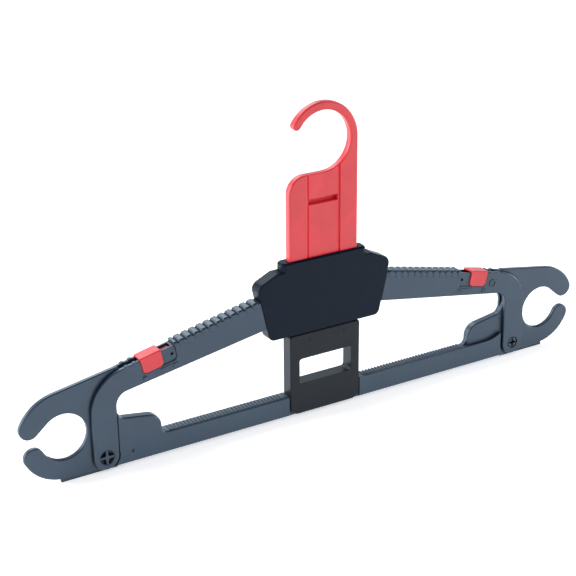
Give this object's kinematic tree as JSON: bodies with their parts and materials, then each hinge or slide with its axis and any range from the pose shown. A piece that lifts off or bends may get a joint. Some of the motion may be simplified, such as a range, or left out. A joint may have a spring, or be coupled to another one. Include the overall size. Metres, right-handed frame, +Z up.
{
  "type": "folding travel hanger",
  "caption": "Flat folding clothes hanger: hook plate slides through a collar, the lower bars swing down, sliding clips lock the ends, and C-shaped jaws sit at both ends.",
  "frame": {"origin": "axis of the rail in the hook's round seat, in the middle of the hook's thickness", "axes": "+X towards the end that is on the right from the front, +Y from front to back, +Z up"},
  "size_m": [0.3868, 0.0088, 0.192],
  "materials": {
    "grey": "satin moulded blue-grey plastic",
    "navy": "satin moulded dark navy plastic",
    "black": "satin moulded black plastic",
    "red": "satin moulded red plastic"
  },
  "bodies": {
    "hook": {"hook": "red", "hook_foot": "black", "foot_pins": "black"},
    "frame": {"collar_front": "navy", "collar_back": "navy", "arm_left": "grey", "arm_right": "grey", "pivot_pin_left": "grey", "pivot_pin_right": "grey"},
    "leg_left": {"leg_left": "grey"},
    "leg_right": {"leg_right": "grey"},
    "lock_left": {"lock_clip_left": "red", "lock_bar_left": "red"},
    "lock_right": {"lock_clip_right": "red", "lock_bar_right": "red"}
  },
  "joints": [
    {"name": "hook_slide", "type": "slide", "parent": "hook", "child": "frame", "axis": [0, 0, 1], "range_m": [0, 0.078]},
    {"name": "leg_right_swing", "type": "hinge", "parent": "frame", "child": "leg_right", "pos_m": [0.1443, 0, -0.1596], "axis": [0, -1, 0], "range_deg": [0, 90]},
    {"name": "leg_left_swing", "type": "hinge", "parent": "frame", "child": "leg_left", "pos_m": [-0.1443, 0, -0.1596], "axis": [0, 1, 0], "range_deg": [0, 90]},
    {"name": "lock_right_slide", "type": "slide", "parent": "frame", "child": "lock_right", "axis": [-0.9767, 0, 0.2147], "range_m": [0, 0.0085]},
    {"name": "lock_left_slide", "type": "slide", "parent": "frame", "child": "lock_left", "axis": [0.9767, 0, 0.2147], "range_m": [0, 0.0085]}
  ],
  "couplings": [
    {"joint": "leg_right_swing", "follows": "hook_slide", "rad_per_m": 20.1},
    {"joint": "leg_left_swing", "follows": "hook_slide", "rad_per_m": 20.1}
  ]
}
